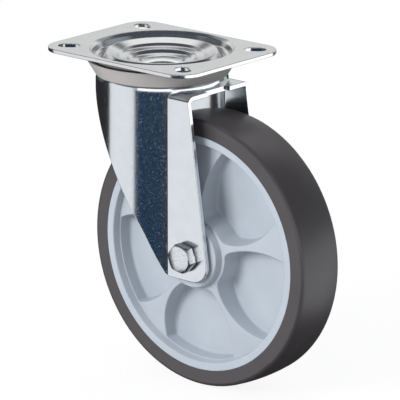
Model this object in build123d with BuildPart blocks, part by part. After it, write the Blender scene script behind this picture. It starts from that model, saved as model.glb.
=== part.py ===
"""Swivel castor with a 200 mm wheel.

A pressed top plate turns on two rows of balls over a drawn steel fork.
The fork carries a moulded wheel with a bonded rubber tyre on a roller bearing.

Frame: millimetres, +Z up.  The origin is where the swivel axis meets the top face of the plate.
The wheel's axle runs along Y, and the wheel trails behind the swivel axis towards +X.
"""

import os
from math import cos, radians, sin, sqrt, tan

from build123d import *

# ---------------------------------------------------------------- driving dimensions

# The whole castor
total_height = 240.0
trail = 51.0
wheel_diameter = 200.0
tread_width = 40.0

# Top plate
plate_length = 140.0
plate_width = 112.0
plate_thickness = 3.0
plate_corner_radius = 18.0
slot_spacing_x = 109.0
slot_spacing_y = 79.0
slot_width = 11.0
slot_travel = 5.0
plate_edge_radius = 0.5
slot_edge_radius = 0.4
dish_radius = 52.5
dish_bend_radius = 1.2

# Ball races
upper_ball_diameter = 8.0
upper_ball_circle = 36.3
upper_ball_count = 24
upper_ball_height = -10.6
lower_ball_diameter = 6.35
lower_ball_circle = 21.0
lower_ball_count = 16
lower_ball_height = -23.2
race_clearance = 0.2

# Fork
sheet = 3.5
sheet_edge_radius = 0.5
crown_radius = 48.0
crown_top = -17.5
shelf_top = -22.0
leg_outside = 66.5
leg_front_at_foot = 33.8
leg_back_at_shelf = 54.0
leg_back_at_foot = 73.0
leg_below_axle = 17.5
leg_toe_radius = 13.0
leg_heel_radius = 5.0
skirt_front = -36.0
skirt_lip_height = 9.0
skirt_lip_radius = 13.0
skirt_knee = (19.5, -124.0)
skirt_knee_radius = 120.0
crown_bend_radius = 4.5
shelf_bend_radius = 5.0
flank_bend_radius = 1.5

# Axle
bolt_diameter = 12.0
hex_across_flats = 19.0
hex_turn = 50.0
bolt_head_height = 7.5
nut_height = 12.0
bolt_stand_out = 2.5
nut_washer_thickness = 2.5
nut_washer_radius = 12.0
tube_diameter = 20.0

# Wheel
hub_width = 55.0
hub_radius = 24.7
hub_bore_radius = 15.0
rim_radius = 87.0
rim_lip_radius = 81.5
rim_lip_depth = 5.6
web_thickness = 9.0
spoke_face_at_hub = 21.6
spoke_face_at_rim = 14.4
pocket_count = 5
pocket_inner_radius = 27.2
pocket_outer_radius = 80.2
pocket_draft = 8.0
roller_count = 10
roller_radius = 2.2

# ---------------------------------------------------------------- derived values

axle_height = wheel_diameter / 2 - total_height
half_tread = tread_width / 2
wheel_radius = wheel_diameter / 2
leg_face = leg_outside / 2
leg_inside = leg_face - sheet
half_hub = hub_width / 2
axle_centre = Vector(trail, 0, axle_height)
axle_axis = Axis(axle_centre, (0, 1, 0))

# Half sections of the turned pieces: x is the radius from the swivel axis, y is the height.
swivel_section = Plane.XZ
# Half sections of what turns on the axle: x is the distance along the axle, y is the radius.
axle_section = Plane(origin=axle_centre, x_dir=(0, 1, 0), z_dir=(1, 0, 0))
# The wheel's middle plane, looking at its near side: x is towards the trail, y is up.
wheel_face = Plane(origin=axle_centre, x_dir=(1, 0, 0), z_dir=(0, -1, 0))


def polar(radius, angle):
    """A point in the wheel's plane, given by its radius and its angle in degrees."""
    return (radius * cos(radians(angle)), radius * sin(radians(angle)))


def finish(part, name):
    """Label a finished piece and write its STEP file."""
    part.label = name
    export_step(part, f"parts/{name}.step")


os.makedirs("parts", exist_ok=True)

# ---------------------------------------------------------------- top plate
# One pressed sheet: a flat rim with four slots round a dish.  The dish has a deep outer channel,
# then a ridge whose underside is the upper ball race, then steps down to the rivet's seat.

channel_floor = -7.0
rivet_seat = -12.0
pressed_bends = (
    (dish_radius, 0),
    (50.4, -2.0),
    (48.9, -6.0),
    (46.8, channel_floor),
    (43.6, channel_floor),
    (41.9, -5.0),
    (39.8, -1.7),
    (32.7, -4.5),
    (30.5, -6.5),
    (25.5, -7.5),
    (23.0, -10.0),
    (18.6, -11.0),
    (17.6, rivet_seat),
)
dish_underside = channel_floor - plate_thickness
dish_join_radius = dish_radius + 2.5
seat_underside = rivet_seat - plate_thickness
rivet_radius = 8.0

upper_race_radius = upper_ball_diameter / 2 + race_clearance
upper_race_half_width = sqrt(upper_race_radius**2 - (dish_underside - upper_ball_height) ** 2)

with BuildPart() as top_plate:
    with BuildSketch(Plane.XY.offset(-plate_thickness)):
        RectangleRounded(plate_length, plate_width, plate_corner_radius)
        Circle(dish_radius, mode=Mode.SUBTRACT)
    extrude(amount=plate_thickness)
    rim_edges = [edge for face in faces().filter_by(Axis.Z) for edge in face.outer_wire().edges()]
    fillet(rim_edges, plate_edge_radius)
    with BuildSketch(swivel_section):
        with BuildLine():
            Polyline(
                (dish_join_radius, 0),
                *pressed_bends,
                (rivet_radius, rivet_seat),
                (rivet_radius, seat_underside),
                (19.0, seat_underside),
                (24.2, -13.2),
                (27.6, dish_underside),
                (upper_ball_circle - upper_race_half_width, dish_underside),
            )
            ThreePointArc(
                (upper_ball_circle - upper_race_half_width, dish_underside),
                (upper_ball_circle, upper_ball_height + upper_race_radius),
                (upper_ball_circle + upper_race_half_width, dish_underside),
            )
            Polyline(
                (upper_ball_circle + upper_race_half_width, dish_underside),
                (48.6, dish_underside),
                (51.4, -7.6),
                (dish_join_radius, -plate_thickness),
                (dish_join_radius, 0),
            )
        make_face()
        for bend in pressed_bends:
            fillet(vertices().sort_by_distance(bend)[0], dish_bend_radius)
    revolve(axis=Axis.Z)
    slot_angle = 35.5
    for side_x in (-1, 1):
        for side_y in (-1, 1):
            spot = (side_x * slot_spacing_x / 2, side_y * slot_spacing_y / 2)
            with BuildSketch(Plane.XY):
                with Locations(spot):
                    SlotCenterToCenter(slot_travel, slot_width, rotation=side_x * side_y * slot_angle)
            extrude(amount=-plate_thickness, mode=Mode.SUBTRACT)
            fillet(edges(Select.LAST).filter_by(Axis.Z, reverse=True), slot_edge_radius)
finish(top_plate.part, "top_plate")

# ---------------------------------------------------------------- dust ring
# A thin grey cone that stands on the crown and shields the upper balls.

ring_top_radius = 55.0
ring_top = -6.4
ring_foot_radius = 48.4
ring_seat_radius = 43.3
ring_wall = 1.7
ring_foot_thickness = 1.6

with BuildPart() as dust_ring:
    with BuildSketch(swivel_section):
        with BuildLine():
            Polyline(
                (ring_seat_radius, crown_top),
                (ring_foot_radius, crown_top),
                (ring_top_radius, ring_top),
                (ring_top_radius - ring_wall, ring_top),
                (ring_foot_radius - ring_wall, crown_top + ring_foot_thickness),
                (ring_seat_radius, crown_top + ring_foot_thickness),
                close=True,
            )
        make_face()
    revolve(axis=Axis.Z)
finish(dust_ring.part, "dust_ring")

# ---------------------------------------------------------------- balls


def ball_row(diameter, circle, count, height):
    """One row of loose balls on a circle round the swivel axis."""
    with BuildPart() as row:
        with Locations((0, 0, height)):
            with PolarLocations(circle, count):
                Sphere(diameter / 2)
    return row.part


finish(ball_row(upper_ball_diameter, upper_ball_circle, upper_ball_count, upper_ball_height), "upper_balls")
finish(ball_row(lower_ball_diameter, lower_ball_circle, lower_ball_count, lower_ball_height), "lower_balls")

# ---------------------------------------------------------------- fork
# One drawn sheet.  A round crown carries both races, a skirt wraps its front and sides, and two flat
# legs run down from a lower shelf at the back.  A slanted cut trims the skirt from front to heel.

leg_foot = axle_height - leg_below_axle
skirt_lip = (skirt_front, crown_top - skirt_lip_height)
beyond_crown = crown_radius + 5
crown_underside = crown_top - sheet
race_seat_top = -12.4
trim_tolerance = 0.01
race_seat_outer = 41.0
race_seat_inner = 31.6
race_seat_flank = 1.4
race_recess = (33.6, 39.0)
race_recess_top = -18.2
crown_hole_radius = 12.0
lower_race_radius = lower_ball_diameter / 2 + race_clearance
notch_half_width = 12.0
notch_depth = 3.0
axle_hole_radius = bolt_diameter / 2 + 0.1


def drawn_form(inset, length, foot):
    """The form that the sheet is drawn to: a round cup, with a lower flat-sided block behind it.

    The outside has no inset, and the inside has an inset of one sheet.
    """
    radius = crown_radius - inset
    side = leg_outside / 2 - inset
    shoulder = shelf_bend_radius - inset
    rim_bend = crown_bend_radius - inset
    crease = (sqrt(radius**2 - side**2), side)
    with BuildPart() as form:
        # Skirt and legs, seen from above, with the creases between them rounded.
        with BuildSketch(Plane.XY.offset(foot)):
            Circle(radius)
            with Locations((length / 2, 0)):
                Rectangle(length, 2 * side)
            for mirrored in (1, -1):
                corner = vertices().sort_by_distance((crease[0], mirrored * crease[1]))[0]
                fillet(corner, flank_bend_radius + inset)
        extrude(amount=shelf_top - inset - shoulder - foot)
        # The shelf with its rounded shoulders.
        with BuildSketch(Plane.YZ):
            with Locations((0, shelf_top - inset)):
                Rectangle(2 * side, 2 * shoulder, align=(Align.CENTER, Align.MAX))
            fillet(vertices().group_by(Axis.Y)[-1], shoulder)
        extrude(amount=length)
        # The cup with its rounded rim.
        with BuildSketch(swivel_section):
            with Locations((0, crown_top - inset)):
                Rectangle(radius, crown_top - inset - foot, align=(Align.MIN, Align.MAX))
            fillet(vertices().group_by(Axis.Y)[-1].sort_by(Axis.X)[-1], rim_bend)
        revolve(axis=Axis.Z)
    return form.part


def arc_groove(circle, height, radius):
    """The ring that a ball sweeps on its circle round the swivel axis."""
    with BuildPart() as groove:
        with BuildSketch(swivel_section):
            with Locations((circle, height)):
                Circle(radius)
        revolve(axis=Axis.Z)
    return groove.part


outside_form = drawn_form(0, leg_back_at_foot + 2, leg_foot)
inside_form = drawn_form(sheet, leg_back_at_foot + 12, leg_foot - 10)
upper_groove = arc_groove(upper_ball_circle, upper_ball_height, upper_race_radius)
lower_groove = arc_groove(lower_ball_circle, lower_ball_height, lower_race_radius)

def on_trim(edge):
    """Whether an edge borders the outline that the drawn sheet is trimmed to."""
    spot = edge @ 0.5
    return side_view.sketch.face().outer_wire().distance_to(Vector(spot.X, 0, spot.Z)) < trim_tolerance


with BuildPart() as fork:
    add(outside_form)
    add(inside_form, mode=Mode.SUBTRACT)
    # The side view: shelf, sloping back edge, rounded foot, and the slanted trim of the skirt.
    with BuildSketch(Plane.XZ) as side_view:
        with BuildLine():
            Polyline(
                (-beyond_crown, 0),
                (leg_back_at_shelf, 0),
                (leg_back_at_shelf, shelf_top - shelf_bend_radius),
                (leg_back_at_foot, leg_foot),
                (leg_front_at_foot, leg_foot),
                skirt_knee,
                skirt_lip,
                (-beyond_crown, skirt_lip[1]),
                close=True,
            )
        make_face()
        toe = vertices().sort_by_distance((leg_back_at_foot, leg_foot))[0]
        fillet(toe, leg_toe_radius)
        heel = vertices().sort_by_distance((leg_front_at_foot, leg_foot))[0]
        fillet(heel, leg_heel_radius)
        knee = vertices().sort_by_distance(skirt_knee)[0]
        fillet(knee, skirt_knee_radius)
        lip = vertices().sort_by_distance(skirt_lip)[0]
        fillet(lip, skirt_lip_radius)
    extrude(amount=leg_outside, both=True, mode=Mode.INTERSECT)
    fillet(edges().filter_by(on_trim).filter_by(Axis.Y, reverse=True), sheet_edge_radius)
    # The raised seat of the upper race, hollow underneath as a pressed seat is.
    with BuildSketch(swivel_section):
        with BuildLine():
            Polyline(
                (race_seat_outer + race_seat_flank, crown_top),
                (race_seat_outer, race_seat_top),
                (race_seat_inner, race_seat_top),
                (race_seat_inner - race_seat_flank, crown_top),
                (race_seat_inner - race_seat_flank, crown_underside),
                (race_recess[0], crown_underside),
                (race_recess[0], race_recess_top),
                (race_recess[1], race_recess_top),
                (race_recess[1], crown_underside),
                (race_seat_outer + race_seat_flank, crown_underside),
                close=True,
            )
        make_face()
    revolve(axis=Axis.Z)
    add(upper_groove, mode=Mode.SUBTRACT)
    add(lower_groove, mode=Mode.SUBTRACT)
    with BuildSketch(Plane.XY.offset(crown_underside)):
        Circle(crown_hole_radius)
    extrude(amount=sheet, mode=Mode.SUBTRACT)
    # A shallow notch in the back edge of the shelf.
    with BuildSketch(Plane.XY.offset(shelf_top - sheet)):
        with Locations((leg_back_at_shelf, 0)):
            Rectangle(2 * notch_depth, 2 * notch_half_width)
    extrude(amount=2 * sheet, mode=Mode.SUBTRACT)
    # The axle holes.
    with BuildSketch(wheel_face):
        Circle(axle_hole_radius)
    extrude(amount=leg_outside, both=True, mode=Mode.SUBTRACT)
finish(fork.part, "fork")

# ---------------------------------------------------------------- lower race and king rivet
# The rivet ties the plate's dish to a small cup under the crown.  The lower balls run in the cup.

cup_shoulder = -24.6
cup_outer_radius = 27.0
cup_thickness = 2.6
cup_lip_top = -22.6
cup_floor = lower_ball_height - lower_race_radius - cup_thickness
cup_skirt = 2.0

with BuildPart() as lower_race:
    with BuildSketch(swivel_section):
        with BuildLine():
            Polyline(
                (rivet_radius, cup_shoulder),
                (cup_outer_radius - cup_skirt, cup_shoulder),
                (cup_outer_radius - cup_skirt, cup_lip_top),
                (cup_outer_radius, cup_lip_top),
                (cup_outer_radius, cup_shoulder - cup_thickness),
                (cup_outer_radius - 2 * cup_skirt, cup_floor),
                (rivet_radius, cup_floor),
                close=True,
            )
        make_face()
    revolve(axis=Axis.Z)
    add(lower_groove, mode=Mode.SUBTRACT)
finish(lower_race.part, "lower_race")

rivet_head_radius = 16.5
rivet_head_top = rivet_seat + 3.4
rivet_tail_radius = 11.5
rivet_tail_end = cup_floor - 3.2
rivet_edge = 0.5


def dome_radius(base_radius, rise):
    """The sphere radius of a low dome with this base and rise."""
    return (base_radius**2 + rise**2) / (2 * rise)


with BuildPart() as king_rivet:
    with BuildSketch(swivel_section):
        with BuildLine():
            RadiusArc(
                (rivet_head_radius, rivet_seat + rivet_edge),
                (0, rivet_head_top),
                -dome_radius(rivet_head_radius, rivet_head_top - rivet_seat - rivet_edge),
            )
            Line((0, rivet_head_top), (0, rivet_tail_end))
            RadiusArc(
                (0, rivet_tail_end),
                (rivet_tail_radius, cup_floor - rivet_edge),
                -dome_radius(rivet_tail_radius, cup_floor - rivet_edge - rivet_tail_end),
            )
            Polyline(
                (rivet_tail_radius, cup_floor - rivet_edge),
                (rivet_tail_radius, cup_floor),
                (rivet_radius, cup_floor),
                (rivet_radius, rivet_seat),
                (rivet_head_radius, rivet_seat),
                (rivet_head_radius, rivet_seat + rivet_edge),
            )
        make_face()
    revolve(axis=Axis.Z)
finish(king_rivet.part, "king_rivet")

# ---------------------------------------------------------------- axle
# A hexagon bolt and a locking nut clamp both legs on a steel tube.  The tube is the inner track of
# the roller bearing, and a thrust washer stands between each leg and the hub.

bolt_radius = bolt_diameter / 2
bolt_end = leg_face + nut_washer_thickness + nut_height + bolt_stand_out
point_chamfer = 1.2
hex_chamfer = 0.3
nut_hex_height = 9.0
nut_bore = bolt_radius + 0.05
collar_radius = 7.9
insert_radius = 6.9
insert_floor = nut_hex_height + 0.2
insert_height = 2.2
collar_lip_bore = 6.5
tube_bore = bolt_radius + 0.1
tube_radius = tube_diameter / 2
thrust_bore = tube_radius + 0.05
thrust_radius = 17.0
thrust_thickness = 1.9

near_leg = Plane(origin=axle_centre - Vector(0, leg_face, 0), x_dir=(1, 0, 0), z_dir=(0, -1, 0))
far_leg = Plane(origin=axle_centre + Vector(0, leg_face, 0), x_dir=(1, 0, 0), z_dir=(0, 1, 0))
nut_seat = far_leg.offset(nut_washer_thickness)


def hexagon(seat, height):
    """A hexagon prism standing on its seat, with its outer corners turned to a cone."""
    corner_radius = hex_across_flats / 2 / cos(radians(30))
    turned_radius = hex_across_flats / 2 - hex_chamfer
    with BuildPart() as prism:
        with BuildSketch(seat):
            RegularPolygon(corner_radius, 6, rotation=hex_turn)
        extrude(amount=height)
        with BuildSketch(seat.offset(height)):
            Circle(turned_radius)
        extrude(amount=-height, taper=-60, mode=Mode.INTERSECT)
    return prism.part


def sleeve(start, end, inner_radius, outer_radius):
    """A plain ring on the axle, from one distance along the axle to another."""
    with BuildPart() as ring:
        with BuildSketch(axle_section):
            with Locations((start, inner_radius)):
                Rectangle(end - start, outer_radius - inner_radius, align=(Align.MIN, Align.MIN))
        revolve(axis=axle_axis)
    return ring.part


with BuildPart() as axle_bolt:
    add(hexagon(near_leg, bolt_head_height))
    with BuildSketch(near_leg):
        Circle(bolt_radius)
    extrude(amount=-(leg_face + bolt_end))
    chamfer(axle_bolt.faces().sort_by(Axis.Y)[-1].edges(), point_chamfer)
finish(axle_bolt.part, "axle_bolt")

finish(sleeve(leg_face, leg_face + nut_washer_thickness, nut_bore, nut_washer_radius), "nut_washer")

with BuildPart() as axle_nut:
    add(hexagon(nut_seat, nut_hex_height))
    with BuildSketch(nut_seat):
        Circle(collar_radius)
    extrude(amount=nut_height)
    with BuildSketch(nut_seat):
        Circle(nut_bore)
    extrude(amount=nut_height, mode=Mode.SUBTRACT)
    with BuildSketch(nut_seat.offset(insert_floor)):
        Circle(insert_radius)
    extrude(amount=insert_height, mode=Mode.SUBTRACT)
    with BuildSketch(nut_seat.offset(insert_floor + insert_height)):
        Circle(collar_lip_bore)
    extrude(amount=nut_height, mode=Mode.SUBTRACT)
finish(axle_nut.part, "axle_nut")

insert_start = leg_face + nut_washer_thickness + insert_floor
finish(sleeve(insert_start, insert_start + insert_height, nut_bore, insert_radius), "nut_insert")
finish(sleeve(-leg_inside, leg_inside, tube_bore, tube_radius), "axle_tube")
for side, direction in (("near", -1), ("far", 1)):
    inner_face = direction * (leg_inside - thrust_thickness)
    outer_face = direction * leg_inside
    washer = sleeve(min(inner_face, outer_face), max(inner_face, outer_face), thrust_bore, thrust_radius)
    finish(washer, f"thrust_washer_{side}")

# ---------------------------------------------------------------- roller bearing
# Long rollers in a moulded cage run between the tube and the bore of the hub.

roller_circle = (tube_radius + hub_bore_radius) / 2
roller_length = 40.0
cage_length = 48.0
cage_inner_radius = 10.6
cage_outer_radius = 14.4
roller_play = 0.1
cap_bore = tube_radius + 0.4
cap_radius = 17.5
cap_depth = 3.0
cap_shoulder = half_hub - cap_depth
cap_chamfer = 0.6

with BuildPart() as rollers:
    with BuildSketch(wheel_face):
        with PolarLocations(roller_circle, roller_count):
            Circle(roller_radius)
    extrude(amount=roller_length / 2, both=True)
finish(rollers.part, "rollers")

with BuildPart() as roller_cage:
    add(sleeve(-cage_length / 2, cage_length / 2, cage_inner_radius, cage_outer_radius))
    with BuildSketch(wheel_face):
        with PolarLocations(roller_circle, roller_count):
            Rectangle(tube_radius, 2 * (roller_radius + roller_play))
    extrude(amount=roller_length / 2 + roller_play, both=True, mode=Mode.SUBTRACT)
finish(roller_cage.part, "roller_cage")

for side, direction in (("near", -1), ("far", 1)):
    with BuildPart() as hub_cap:
        with BuildSketch(axle_section):
            with BuildLine():
                Polyline(
                    (direction * cap_shoulder, cap_bore),
                    (direction * cap_shoulder, cap_radius),
                    (direction * half_hub, cap_radius),
                    (direction * half_hub, cap_bore + cap_chamfer),
                    (direction * (half_hub - cap_chamfer), cap_bore),
                    close=True,
                )
            make_face()
        revolve(axis=axle_axis)
    finish(hub_cap.part, f"hub_cap_{side}")

# ---------------------------------------------------------------- wheel centre
# A moulded wheel: hub, rim and middle web in one, with five drafted pockets on each side that leave
# five curved spokes.  The spokes' faces slope from the hub down to the rim.

hub_top_radius = 23.6
rim_channel = (15.0, 84.0)
rim_channel_edge = 16.5
rim_lip_foot = 80.2
outline_height = 18.0
web_face = web_thickness / 2
leading_flank = (polar(pocket_outer_radius, 76.0), polar(57.0, 82.6), polar(pocket_inner_radius, 80.3))
trailing_flank = (polar(pocket_inner_radius, 27.6), polar(55.0, 18.8), polar(pocket_outer_radius, 28.5))
hub_corner_leading = 6.0
hub_corner_trailing = 9.0
rim_corner = 2.5
pocket_floor_radius = 2.0
pocket_mouth_radius = 0.8
hub_edge_radius = 1.0
rim_edge_radius = 0.8


def half_profile(side):
    """The corners of the wheel's section from the hub's bore to the tyre's channel, on one side."""
    corners = [
        (cap_shoulder, hub_bore_radius),
        (cap_shoulder, cap_radius),
        (half_hub, cap_radius),
        (half_hub, hub_top_radius),
        (spoke_face_at_hub, hub_radius),
        (spoke_face_at_rim, rim_lip_foot),
        (half_tread, rim_lip_radius),
        (half_tread, rim_radius),
        (rim_channel_edge, rim_radius),
        rim_channel,
    ]
    return [(side * along, radius) for along, radius in corners]


def pocket_outline(height):
    """A pocket's outline at one height over the wheel's middle plane.  The draft widens it upwards."""
    growth = (height - outline_height) * tan(radians(pocket_draft))
    with BuildSketch(wheel_face.offset(height)) as outline:
        with BuildLine():
            ThreePointArc(*leading_flank)
            ThreePointArc(leading_flank[2], polar(pocket_inner_radius, 53.0), trailing_flank[0])
            ThreePointArc(*trailing_flank)
            ThreePointArc(trailing_flank[2], polar(pocket_outer_radius, 52.0), leading_flank[0])
        make_face()
        offset(amount=growth, kind=Kind.INTERSECTION, mode=Mode.REPLACE)
        for corner, corner_radius in (
            (leading_flank[2], hub_corner_leading),
            (trailing_flank[0], hub_corner_trailing),
            (leading_flank[0], rim_corner),
            (trailing_flank[2], rim_corner),
        ):
            fillet(vertices().sort_by_distance(corner)[0], corner_radius)
    return outline.sketch


def in_mouth(edge):
    """Whether an edge of the wheel runs round the mouth of a pocket."""
    return edge.geom_type == GeomType.BSPLINE and all(abs(end.Y) > web_thickness for end in edge.vertices())


with BuildPart() as pocket:
    add(pocket_outline(half_hub))
    add(pocket_outline(web_face))
    loft(ruled=True)
    fillet(faces().sort_by(Axis.Y)[-1].edges(), pocket_floor_radius)

with BuildPart() as near_pockets:
    for turn in range(pocket_count):
        add(pocket.part.rotate(axle_axis, turn * 360 / pocket_count))

with BuildPart() as wheel_centre:
    with BuildSketch(axle_section):
        with BuildLine():
            Polyline(*half_profile(1), *reversed(half_profile(-1)), close=True)
        make_face()
        for side in (1, -1):
            hub_edge = vertices().sort_by_distance((side * half_hub, hub_top_radius))[0]
            fillet(hub_edge, hub_edge_radius)
            rim_edge = vertices().sort_by_distance((side * half_tread, rim_lip_radius))[0]
            fillet(rim_edge, rim_edge_radius)
    revolve(axis=axle_axis)
    add(near_pockets.part, mode=Mode.SUBTRACT)
    mirror(near_pockets.part, about=Plane.XZ, mode=Mode.SUBTRACT)
    fillet(edges().filter_by(in_mouth), pocket_mouth_radius)
finish(wheel_centre.part, "wheel_centre")

# ---------------------------------------------------------------- tyre
# Solid rubber bonded into the rim's channel, with rounded shoulders and a slightly crowned tread.

tread_edge_radius = 98.7
shoulder_radius = 3.0

with BuildPart() as tyre:
    with BuildSketch(axle_section):
        with BuildLine():
            Polyline(
                (half_tread, tread_edge_radius),
                (half_tread, rim_radius),
                (rim_channel_edge, rim_radius),
                rim_channel,
                (-rim_channel[0], rim_channel[1]),
                (-rim_channel_edge, rim_radius),
                (-half_tread, rim_radius),
                (-half_tread, tread_edge_radius),
            )
            ThreePointArc(
                (-half_tread, tread_edge_radius),
                (0, wheel_radius),
                (half_tread, tread_edge_radius),
            )
        make_face()
        fillet(vertices().group_by(Axis.Y)[-1], shoulder_radius)
    revolve(axis=axle_axis)
finish(tyre.part, "tyre")
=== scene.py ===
from math import cos, pi, radians, sin, tan

import bmesh
import bpy
from mathutils import Matrix, Vector


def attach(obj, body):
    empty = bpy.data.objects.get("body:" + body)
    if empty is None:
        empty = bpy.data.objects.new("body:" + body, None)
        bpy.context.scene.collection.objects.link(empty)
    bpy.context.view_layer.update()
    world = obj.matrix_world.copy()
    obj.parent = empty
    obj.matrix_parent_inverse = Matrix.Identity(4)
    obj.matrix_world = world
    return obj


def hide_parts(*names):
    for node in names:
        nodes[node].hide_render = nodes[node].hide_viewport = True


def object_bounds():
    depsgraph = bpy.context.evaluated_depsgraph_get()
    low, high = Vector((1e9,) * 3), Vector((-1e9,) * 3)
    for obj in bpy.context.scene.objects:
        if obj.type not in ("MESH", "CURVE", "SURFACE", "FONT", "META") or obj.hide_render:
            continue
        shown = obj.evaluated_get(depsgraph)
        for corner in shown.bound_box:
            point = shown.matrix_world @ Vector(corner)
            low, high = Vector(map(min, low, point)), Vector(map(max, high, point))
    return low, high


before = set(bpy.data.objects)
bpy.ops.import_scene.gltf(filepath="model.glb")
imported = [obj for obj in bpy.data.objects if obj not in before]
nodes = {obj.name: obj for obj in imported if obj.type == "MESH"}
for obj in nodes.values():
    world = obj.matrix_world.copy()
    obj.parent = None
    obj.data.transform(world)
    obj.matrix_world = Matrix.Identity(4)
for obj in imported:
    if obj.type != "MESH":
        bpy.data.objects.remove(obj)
cad_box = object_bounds()

MM = 0.001


# ---------------------------------------------------------------- small helpers


def linear(colour):
    """An sRGB hex colour as linear red, green, blue and alpha."""
    channels = [int(colour[at:at + 2], 16) / 255 for at in (1, 3, 5)]
    return [c / 12.92 if c <= 0.04045 else ((c + 0.055) / 1.055) ** 2.4 for c in channels] + [1.0]


def add_node(tree, kind, inputs=None, **settings):
    """Add a node, set its settings, and give its inputs a value or a link each."""
    made = tree.nodes.new(kind)
    for name, value in settings.items():
        setattr(made, name, value)
    for name, value in (inputs or {}).items():
        if isinstance(value, bpy.types.NodeSocket):
            tree.links.new(value, made.inputs[name])
        else:
            made.inputs[name].default_value = value
    return made


def new_material(name):
    """An empty material with its shader and its node tree."""
    material = bpy.data.materials.new(name)
    material.use_nodes = True
    tree = material.node_tree
    return material, tree, tree.nodes["Principled BSDF"]


def spread(tree, value, low, high, to_low, to_high):
    """Stretch one range of a value onto another, clamped at both ends."""
    stretched = add_node(tree, "ShaderNodeMapRange", {
        "Value": value, "From Min": low, "From Max": high, "To Min": to_low, "To Max": to_high})
    return stretched.outputs["Result"]


def noise(tree, place, size_mm, detail=3.0, rough=0.5):
    """Noise whose lumps have a real size in millimetres."""
    made = add_node(tree, "ShaderNodeTexNoise", {
        "Vector": place, "Scale": 1 / (size_mm * MM), "Detail": detail, "Roughness": rough})
    return made.outputs["Fac"]


def blend_colours(tree, amount, first, second):
    """Mix two hex colours by an amount from 0 to 1."""
    mixed = add_node(tree, "ShaderNodeMix", {
        "Factor": amount, "A": linear(first), "B": linear(second)}, data_type="RGBA")
    return mixed.outputs["Result"]


def object_place(tree):
    """Where on the object a point lies, in metres."""
    return add_node(tree, "ShaderNodeTexCoord").outputs["Object"]


def grained_edge(tree, shader, height, depth_mm, edge_mm):
    """Fine grain on a surface whose sharp edges are rounded by tumbling or by the mould."""
    edge = add_node(tree, "ShaderNodeBevel", {"Radius": edge_mm * MM}, samples=6)
    bump = add_node(tree, "ShaderNodeBump", {
        "Height": height, "Distance": depth_mm * MM, "Strength": 1.0,
        "Normal": edge.outputs["Normal"]})
    tree.links.new(bump.outputs["Normal"], shader.inputs["Normal"])


# ---------------------------------------------------------------- materials

# The part of a noise's range that it mostly stays in, and the peaks that make flecks.
noise_middle = (0.3, 0.7)
noise_peaks = (0.48, 0.85)


def plated_zinc(name, light, dark, roughness, fleck_roughness, blotch_mm, grain_mm,
                grain_depth_mm, edge_mm):
    """Bright zinc plating on pressed steel.

    The plating follows the fine grain of the rolled sheet, and duller flecks of it break up the
    reflections.  The passivation clouds the colour in soft blotches a few millimetres wide.
    """
    material, tree, shader = new_material(name)
    place = object_place(tree)
    fleck_mm = grain_mm * 0.6
    clouds = noise(tree, place, blotch_mm, detail=4.0, rough=0.6)
    grain = noise(tree, place, grain_mm, detail=2.0, rough=0.6)
    flecks = noise(tree, place, fleck_mm, detail=4.0, rough=0.75)
    colour = blend_colours(tree, spread(tree, clouds, *noise_middle, 0, 1), light, dark)
    polish = spread(tree, flecks, *noise_peaks, roughness, fleck_roughness)
    tree.links.new(colour, shader.inputs["Base Color"])
    tree.links.new(polish, shader.inputs["Roughness"])
    grained_edge(tree, shader, grain, grain_depth_mm, edge_mm)
    shader.inputs["Metallic"].default_value = 1.0
    return material


def fuller_shoulder(material, foot, top, lean_left, blur):
    """Keep a drawn shoulder steep nearly to its top, as a fuller bend than a plain arc is.

    Between the two heights the surface leans up by only a share of what the mesh does, and the
    change comes in over a short blur inside each height.  All three are in millimetres.
    """
    tree = material.node_tree
    bump = next(node for node in tree.nodes if node.bl_idname == "ShaderNodeBump")
    edge_normal = bump.inputs["Normal"].links[0].from_socket
    height = add_node(tree, "ShaderNodeSeparateXYZ", {0: object_place(tree)}).outputs["Z"]
    over_foot = spread(tree, height, (foot - blur) * MM, foot * MM, 0, 1)
    under_top = spread(tree, height, (top - blur) * MM, top * MM, 1, 0)
    amount = add_node(tree, "ShaderNodeMath", {0: over_foot, 1: under_top}, operation="MULTIPLY")
    lean = spread(tree, amount.outputs[0], 0, 1, 1, lean_left)
    squash = add_node(tree, "ShaderNodeCombineXYZ", {"X": 1, "Y": 1, "Z": lean})
    leaned = add_node(tree, "ShaderNodeVectorMath", {0: edge_normal, 1: squash.outputs[0]},
                      operation="MULTIPLY")
    leaned = add_node(tree, "ShaderNodeVectorMath", {0: leaned.outputs[0]}, operation="NORMALIZE")
    tree.links.new(leaned.outputs[0], bump.inputs["Normal"])


def ground_steel(name, colour, roughness, mark_mm):
    """Hardened bearing steel, ground and lightly oiled: a grey mirror with a soft blur."""
    material, tree, shader = new_material(name)
    marks = noise(tree, object_place(tree), mark_mm)
    polish = spread(tree, marks, *noise_middle, roughness * 0.8, roughness * 1.25)
    tree.links.new(polish, shader.inputs["Roughness"])
    shader.inputs["Base Color"].default_value = linear(colour)
    shader.inputs["Metallic"].default_value = 1.0
    return material


def moulded_plastic(name, light, dark, roughness, ior, grain_mm, grain_depth_mm, edge_mm):
    """Injection moulded plastic: an even colour, a finely eroded mould skin and soft edges."""
    material, tree, shader = new_material(name)
    place = object_place(tree)
    flow_mm = 22
    flow = noise(tree, place, flow_mm)
    skin = noise(tree, place, grain_mm, rough=0.6)
    colour = blend_colours(tree, spread(tree, flow, *noise_middle, 0, 1), light, dark)
    polish = spread(tree, skin, *noise_middle, roughness * 0.88, roughness * 1.12)
    tree.links.new(colour, shader.inputs["Base Color"])
    tree.links.new(polish, shader.inputs["Roughness"])
    grained_edge(tree, shader, skin, grain_depth_mm, edge_mm)
    shader.inputs["IOR"].default_value = ior
    return material


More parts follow.
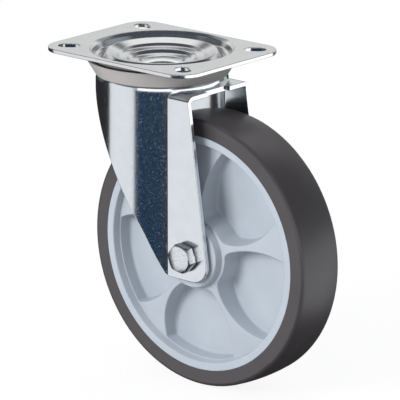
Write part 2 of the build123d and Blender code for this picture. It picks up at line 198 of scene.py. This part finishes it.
plate_zinc = plated_zinc(
    "bright_zinc_plate", "#DDDDDD", "#D5D6D7", roughness=0.19, fleck_roughness=0.26,
    blotch_mm=14, grain_mm=0.5, grain_depth_mm=0.0015, edge_mm=0.6)
fork_zinc = plated_zinc(
    "blue_zinc_fork", "#DDE0E3", "#D6DADE", roughness=0.13, fleck_roughness=0.42,
    blotch_mm=12, grain_mm=1.4, grain_depth_mm=0.014, edge_mm=0.3)
fuller_shoulder(fork_zinc, foot=-22.2, top=-17.9, lean_left=0.3, blur=0.3)
rivet_zinc = plated_zinc(
    "bright_zinc_rivet", "#F4F4F4", "#EDEEEF", roughness=0.12, fleck_roughness=0.16,
    blotch_mm=9, grain_mm=0.5, grain_depth_mm=0.001, edge_mm=0.4)
bolt_zinc = plated_zinc(
    "bright_zinc_bolt", "#F0F1F2", "#BFC3C7", roughness=0.2, fleck_roughness=0.32,
    blotch_mm=0.7, grain_mm=0.9, grain_depth_mm=0.012, edge_mm=0.25)
bearing_steel = ground_steel("ground_bearing_steel", "#B9BBBE", roughness=0.18, mark_mm=0.8)
ring_polymer = moulded_plastic(
    "grey_acetal_ring", "#B0ACAA", "#A7A3A1", roughness=0.5, ior=1.48,
    grain_mm=0.6, grain_depth_mm=0.01, edge_mm=0.4)
cage_nylon = moulded_plastic(
    "natural_nylon", "#D8D4C6", "#CEC9BA", roughness=0.45, ior=1.53,
    grain_mm=0.6, grain_depth_mm=0.01, edge_mm=0.3)
wheel_polypropylene = moulded_plastic(
    "blue_grey_polypropylene", "#ADB5BD", "#A7AFB8", roughness=0.34, ior=1.49,
    grain_mm=0.5, grain_depth_mm=0.006, edge_mm=0.7)
tyre_rubber = moulded_plastic(
    "grey_thermoplastic_rubber", "#423E40", "#3D3A3B", roughness=0.36, ior=1.52,
    grain_mm=0.7, grain_depth_mm=0.012, edge_mm=0.8)

finishes = {
    "top_plate": plate_zinc,
    "king_rivet": rivet_zinc,
    "lower_race": plate_zinc,
    "upper_balls": bearing_steel,
    "lower_balls": bearing_steel,
    "fork": fork_zinc,
    "dust_ring": ring_polymer,
    "axle_bolt": bolt_zinc,
    "nut_washer": bolt_zinc,
    "axle_nut": bolt_zinc,
    "nut_insert": cage_nylon,
    "axle_tube": bearing_steel,
    "thrust_washer_near": bearing_steel,
    "thrust_washer_far": bearing_steel,
    "roller_cage": cage_nylon,
    "rollers": bearing_steel,
    "hub_cap_near": wheel_polypropylene,
    "hub_cap_far": wheel_polypropylene,
    "wheel_centre": wheel_polypropylene,
    "tyre": tyre_rubber,
}
for name, material in finishes.items():
    slots = nodes[name].data.materials
    slots.clear()
    slots.append(material)


# ---------------------------------------------------------------- the axle bolt

# Sizes in millimetres and degrees.  The bolt runs along Y, with its head on the near leg.
axle_middle = Vector((51, 0, -140))
leg_outside = 33.25
bolt_radius = 6.0
bolt_end = 50.25
bolt_point = 1.2
head_across_flats = 19.0
head_height = 7.5
head_turn = 50
head_chamfer_angle = 30
head_chamfer_radius = 9.2
washer_face_height = 0.6
washer_face_step = 0.35
forged_edge = 0.15
thread_pitch = 1.75
thread_depth = 1.05
threaded_length = 16.0
shank_length = leg_outside + bolt_end - threaded_length
thread_sides = 64
thread_rows = 110
merge_distance = 0.002


def new_piece(name, mesh, material, smooth_angle=32):
    """An object for a finished mesh: merged, facing outwards, smooth but for its sharp edges."""
    body = bmesh.new()
    body.from_mesh(mesh)
    bmesh.ops.remove_doubles(body, verts=body.verts, dist=merge_distance * MM)
    bmesh.ops.recalc_face_normals(body, faces=body.faces)
    body.to_mesh(mesh)
    body.free()
    mesh.shade_smooth()
    mesh.set_sharp_from_angle(angle=radians(smooth_angle))
    mesh.materials.clear()
    mesh.materials.append(material)
    piece = bpy.data.objects.new(name, mesh)
    bpy.context.scene.collection.objects.link(piece)
    return piece


def hexagon_head(steps=12):
    """A forged hexagon head on its shank, with a washer face and its corners turned off.

    The head stands on its seat at height zero, and the shank runs down from it.  Each side of
    the hexagon is drawn in a number of steps, so that the chamfer curves across it.
    """
    flat = head_across_flats / 2
    washer_radius = flat - washer_face_step
    chamfer_slope = tan(radians(head_chamfer_angle))
    rounds = 6 * steps
    points, faces = [(0, 0, head_height)], []
    for step in range(rounds):
        off_middle = (step % steps) / steps * 60 - 30
        side = flat / cos(radians(off_middle))
        outline = [
            (head_chamfer_radius, head_height),
            (side, head_height - (side - head_chamfer_radius) * chamfer_slope),
            (side, washer_face_height),
            (washer_radius, washer_face_height),
            (washer_radius, 0),
            (bolt_radius, 0),
            (bolt_radius, -shank_length),
        ]
        angle = radians(head_turn + step / steps * 60)
        points += [(radius * cos(angle), radius * sin(angle), level) for radius, level in outline]
    count = len(outline)
    for step in range(rounds):
        here, ahead = 1 + step * count, 1 + (step + 1) % rounds * count
        faces.append((0, here, ahead))
        faces += [(here + at, here + at + 1, ahead + at + 1, ahead + at)
                  for at in range(count - 1)]
    faces.append([(step + 1) * count for step in range(rounds)])
    mesh = bpy.data.meshes.new("hexagon_head")
    mesh.from_pydata(points, [], faces)
    return mesh


def rolled_thread_tree():
    """A threaded rod: a fine cylinder drawn in along a helix, with a turned-off end."""
    tree = bpy.data.node_groups.new("rolled_thread", "GeometryNodeTree")
    panel = tree.interface
    kinds = {"Radius": "Float", "Length": "Float", "Pitch": "Float", "Depth": "Float",
             "Point": "Float", "Around": "Int", "Along": "Int", "Finish": "Material"}
    sockets = {}
    for name, kind in kinds.items():
        socket = panel.new_socket(name, in_out="INPUT", socket_type="NodeSocket" + kind)
        sockets[name] = socket.identifier
    panel.new_socket("Thread", in_out="OUTPUT", socket_type="NodeSocketGeometry")
    given = add_node(tree, "NodeGroupInput").outputs

    def step_of(operation, *parts, clamp=False):
        """One step of arithmetic on numbers or sockets."""
        step = add_node(tree, "ShaderNodeMath", dict(enumerate(parts)),
                        operation=operation, use_clamp=clamp)
        return step.outputs[0]

    rod = add_node(tree, "GeometryNodeMeshCylinder", {
        "Vertices": given["Around"], "Side Segments": given["Along"], "Fill Segments": 1,
        "Radius": given["Radius"], "Depth": given["Length"]})
    position = add_node(tree, "GeometryNodeInputPosition").outputs[0]
    spot = add_node(tree, "ShaderNodeSeparateXYZ", {0: position}).outputs

    # The flank rises from crest to root over half a pitch, with a short flat at each.
    turned = step_of("DIVIDE", step_of("ARCTAN2", spot["Y"], spot["X"]), 2 * pi)
    phase = step_of("SUBTRACT", step_of("DIVIDE", spot["Z"], given["Pitch"]), turned)
    flank_slope, crest_flat = 2.4, 0.1
    flank = step_of("MULTIPLY", step_of("PINGPONG", phase, 0.5), flank_slope)
    tooth = step_of("SUBTRACT", flank, crest_flat, clamp=True)
    groove = step_of("MULTIPLY", tooth, given["Depth"])

    from_end = step_of("SUBTRACT", step_of("DIVIDE", given["Length"], 2), spot["Z"])
    turned_off = step_of("MAXIMUM", step_of("SUBTRACT", given["Point"], from_end), 0)
    drawn_in = step_of("MAXIMUM", groove, turned_off)
    share = step_of("SUBTRACT", 1, step_of("DIVIDE", drawn_in, given["Radius"]))
    squeeze = add_node(tree, "ShaderNodeCombineXYZ", {"X": share, "Y": share, "Z": 1})
    place = add_node(tree, "ShaderNodeVectorMath", {0: position, 1: squeeze.outputs[0]},
                     operation="MULTIPLY")
    cut = add_node(tree, "GeometryNodeSetPosition", {
        "Geometry": rod.outputs["Mesh"], "Position": place.outputs[0]})
    real = add_node(tree, "GeometryNodeRealizeInstances", {"Geometry": cut.outputs[0]})
    plated = add_node(tree, "GeometryNodeSetMaterial", {
        "Geometry": real.outputs[0], "Material": given["Finish"]})
    add_node(tree, "NodeGroupOutput", {"Thread": plated.outputs[0]})
    return tree, sockets


def evaluated(holder):
    """The plain mesh of an object with its modifiers applied."""
    seen = holder.evaluated_get(bpy.context.evaluated_depsgraph_get())
    return bpy.data.meshes.new_from_object(seen)


def grown(name, tree, sockets, values):
    """The plain mesh that a tree of nodes makes from these values."""
    holder = bpy.data.objects.new(name, bpy.data.meshes.new(name))
    bpy.context.scene.collection.objects.link(holder)
    maker = holder.modifiers.new(name, "NODES")
    maker.node_group = tree
    for socket, value in values.items():
        maker[sockets[socket]] = value
    mesh = evaluated(holder)
    holder.modifiers.remove(maker)
    bpy.data.objects.remove(holder)
    return mesh


def softened(mesh, width_mm, sharp_angle=35):
    """Round a mesh's sharp edges for real, with a narrow bevel of two segments."""
    holder = bpy.data.objects.new("softened", mesh)
    bpy.context.scene.collection.objects.link(holder)
    bevel = holder.modifiers.new("edges", "BEVEL")
    bevel.width = width_mm * MM
    bevel.segments = 2
    bevel.limit_method = "ANGLE"
    bevel.angle_limit = radians(sharp_angle)
    rounded_mesh = evaluated(holder)
    bpy.data.objects.remove(holder)
    return rounded_mesh


def axle_bolt_piece():
    """The axle bolt: a forged and plated hexagon head, a plain shank and a rolled M12 thread."""
    bolt = hexagon_head()
    bolt.transform(Matrix.Scale(MM, 4))
    bolt = softened(bolt, forged_edge)
    tree, sockets = rolled_thread_tree()
    thread = grown("rolled_thread", tree, sockets, {
        "Radius": bolt_radius * MM, "Length": threaded_length * MM, "Pitch": thread_pitch * MM,
        "Depth": thread_depth * MM, "Point": bolt_point * MM,
        "Around": thread_sides, "Along": thread_rows, "Finish": bolt_zinc})
    thread.transform(Matrix.Rotation(pi, 4, "X"))
    thread_middle = shank_length + threaded_length / 2
    thread.transform(Matrix.Translation((0, 0, -thread_middle * MM)))
    joined = bmesh.new()
    joined.from_mesh(bolt)
    joined.from_mesh(thread)
    joined.to_mesh(bolt)
    joined.free()
    seat = axle_middle + Vector((0, -leg_outside, 0))
    bolt.transform(Matrix.Translation(seat * MM) @ Matrix.Rotation(pi / 2, 4, "X"))
    return new_piece("axle_bolt_forged", bolt, bolt_zinc)


axle_bolt = axle_bolt_piece()
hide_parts("axle_bolt")
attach(axle_bolt, "swivel_fork")


# ---------------------------------------------------------------- studio

white = (1, 1, 1, 1)

# Directions of the softboxes round the part, in degrees from +X towards +Y.
in_front = -62
in_front_left = -124
on_the_right = 18
behind = 131


def studio_world():
    """A surround that each kind of surface sees in its own way.

    The eye sees a white backdrop, metal mirrors softboxes with dark gaps between them, and matt
    surfaces get a soft fill.
    """
    world = bpy.data.worlds.new("studio")
    bpy.context.scene.world = world
    world.use_nodes = True
    tree = world.node_tree
    tree.nodes.clear()
    direction = add_node(tree, "ShaderNodeTexCoord").outputs["Generated"]
    rise = add_node(tree, "ShaderNodeSeparateXYZ", {0: direction}).outputs["Z"]
    level = add_node(tree, "ShaderNodeVectorMath", {0: direction, 1: (1, 1, 0)},
                     operation="MULTIPLY")
    level = add_node(tree, "ShaderNodeVectorMath", {0: level.outputs[0]}, operation="NORMALIZE")

    def fade(value, start, end):
        """A smooth step from 0 to 1 between two values."""
        step = add_node(tree, "ShaderNodeMapRange", {
            "Value": value, "From Min": start, "From Max": end}, interpolation_type="SMOOTHSTEP")
        return step.outputs["Result"]

    def both(first, second):
        """The overlap of two windows."""
        return add_node(tree, "ShaderNodeMath", {0: first, 1: second},
                        operation="MULTIPLY").outputs[0]

    def towards(heading, facing):
        """How far one direction points along another, from -1 to 1."""
        return add_node(tree, "ShaderNodeVectorMath", {0: heading, 1: facing},
                        operation="DOT_PRODUCT").outputs["Value"]

    def choose(amount, first, second):
        """One colour where the amount is 0, and the other where it is 1."""
        return add_node(tree, "ShaderNodeMix", {"Factor": amount, "A": first, "B": second},
                        data_type="RGBA").outputs["Result"]

    def softbox(below, colour, azimuth, half_width, bottom, top, soft, strength=1.0,
                side_soft=None):
        """Lay one soft-edged box over what is below it.  Angles are in degrees."""
        side = side_soft or soft
        facing = (cos(radians(azimuth)), sin(radians(azimuth)), 0)
        turn = towards(level.outputs[0], facing)
        window = fade(turn, cos(radians(half_width + side)), cos(radians(half_width - side)))
        window = both(window, fade(rise, sin(radians(bottom - soft)), sin(radians(bottom + soft))))
        window = both(window, fade(rise, sin(radians(top + soft)), sin(radians(top - soft))))
        if isinstance(colour, str):
            colour = [strength * part for part in linear(colour)[:3]] + [1.0]
        return choose(window, below, colour)

    # The dark room, then the cards and softboxes in front of the part and at its sides.
    cloud = add_node(tree, "ShaderNodeTexNoise", {
        "Vector": direction, "Scale": 9, "Detail": 3, "Roughness": 0.6})
    blue_cloth = choose(fade(cloud.outputs["Fac"], 0.42, 0.6),
                        linear("#1C3657"), linear("#213C49"))
    seen = choose(fade(rise, 0.0, 0.25), linear("#302D30"), linear("#4A5058"))
    seen = softbox(seen, "#9CA6AA", on_the_right + 18, 28, bottom=9, top=24, soft=4)
    seen = softbox(seen, blue_cloth, in_front - 10, 27, bottom=-50, top=-4, soft=2)
    seen = softbox(seen, "#FFFFFF", in_front, 30, bottom=-4, top=14, soft=2.5, strength=1.6)
    seen = softbox(seen, "#FBFDFF", in_front_left, 27, bottom=-36, top=10, soft=2.5,
                   strength=1.03)
    seen = softbox(seen, "#FCFDFF", on_the_right, 50, bottom=-36, top=4, soft=3, strength=1.7)
    seen = softbox(seen, "#C4C8CC", in_front_left, 9, bottom=23, top=34, soft=3)

    # The back wall that the flat plate and its dish mirror: light, with one dark gap across it.
    seen = softbox(seen, "#5C7074", behind, 55, bottom=-9, top=5, soft=3)
    seen = softbox(seen, "#BFD6D6", behind - 35, 7, bottom=-30, top=3, soft=2)
    seen = softbox(seen, "#A6AAAE", behind, 50, bottom=22, top=42, soft=4)
    seen = softbox(seen, "#24272B", behind, 36, bottom=28, top=35, soft=2, side_soft=8)
    seen = softbox(seen, "#E2E3E3", behind, 60, bottom=3, top=25, soft=3)
    seen = softbox(seen, "#FFFFFF", behind, 56, bottom=19, top=24, soft=4, strength=1.2)
    seen = softbox(seen, "#FBFBFB", behind, 50, bottom=38, top=82, soft=3, strength=1.15,
                   side_soft=14)

    # Matt surfaces get a plain fill that is brightest high in front.
    high_in_front = (-0.1, -0.75, 0.65)
    toward_key = towards(direction, high_in_front)
    soft_light = choose(fade(toward_key, -0.9, 0.9), linear("#54575C"), linear("#DCDEE2"))
    ray = add_node(tree, "ShaderNodeLightPath").outputs
    shown = choose(ray["Is Glossy Ray"], soft_light, seen)
    shown = choose(ray["Is Camera Ray"], shown, white)
    light = add_node(tree, "ShaderNodeBackground", {"Color": shown, "Strength": 1.0})
    add_node(tree, "ShaderNodeOutputWorld", {"Surface": light.outputs[0]})


def paper_floor():
    """A pale seamless paper floor that keeps a faint shadow under the wheel."""
    half = 9.0
    glow_share = 0.9
    height = cad_box[0][2]
    outline = ((-half, -half), (half, -half), (half, half), (-half, half))
    corners = [(x, y, height) for x, y in outline]
    mesh = bpy.data.meshes.new("paper_floor")
    mesh.from_pydata(corners, [], [(0, 1, 2, 3)])
    floor = bpy.data.objects.new("paper_floor", mesh)
    bpy.context.scene.collection.objects.link(floor)
    floor.visible_glossy = False
    material, tree, shader = new_material("seamless_paper")
    to_eye = add_node(tree, "ShaderNodeLightPath").outputs["Is Camera Ray"]
    tree.links.new(blend_colours(tree, to_eye, "#C8C8C8", "#FFFFFF"), shader.inputs["Base Color"])
    shader.inputs["Roughness"].default_value = 0.9
    glow = add_node(tree, "ShaderNodeEmission", {"Color": white, "Strength": 1.0})
    share = add_node(tree, "ShaderNodeMath", {0: to_eye, 1: glow_share}, operation="MULTIPLY")
    mixed = add_node(tree, "ShaderNodeMixShader", {
        0: share.outputs[0], 1: shader.outputs[0], 2: glow.outputs[0]})
    tree.links.new(mixed.outputs[0], tree.nodes["Material Output"].inputs["Surface"])
    mesh.materials.append(material)


def area_lamp(name, place, side, power):
    """A square soft lamp aimed at the part.  It lights matt surfaces and no metal mirrors it."""
    castor_middle = Vector((0.03, 0, -0.12))
    data = bpy.data.lights.new(name, "AREA")
    data.shape = "SQUARE"
    data.size = side
    data.energy = power
    lamp = bpy.data.objects.new(name, data)
    bpy.context.scene.collection.objects.link(lamp)
    lamp.location = place
    lamp.rotation_euler = (castor_middle - Vector(place)).to_track_quat("-Z", "Y").to_euler()
    lamp.visible_glossy = False


def studio_camera():
    """A long lens a little above the part, looking at its near side from the right."""
    azimuth = radians(41.0985)
    elevation = radians(16.0319)
    distance = 2.88383
    focal_pixels = 3988.205
    frame_pixels = 400
    target = Vector((31.33, 5.61, -109.61)) * MM
    back = Vector((sin(azimuth) * cos(elevation), -cos(azimuth) * cos(elevation), sin(elevation)))
    right = Vector((cos(azimuth), sin(azimuth), 0))
    up = back.cross(right)
    data = bpy.data.cameras.new("camera")
    data.sensor_width = 36
    data.lens = focal_pixels / frame_pixels * data.sensor_width
    data.clip_end = 100
    camera = bpy.data.objects.new("camera", data)
    bpy.context.scene.collection.objects.link(camera)
    turn = Matrix((right, up, back)).transposed().to_4x4()
    camera.matrix_world = Matrix.Translation(target + back * distance) @ turn
    bpy.context.scene.camera = camera


bpy.context.scene.view_settings.view_transform = "Standard"
studio_world()
paper_floor()
area_lamp("front_softbox", (-0.25, -1.8, 0.65), side=0.8, power=32)
area_lamp("back_softbox", (-0.1, 1.8, 0.6), side=0.8, power=15)
area_lamp("top_softbox", (0.3, 0.2, 1.6), side=1.0, power=3)
studio_camera()
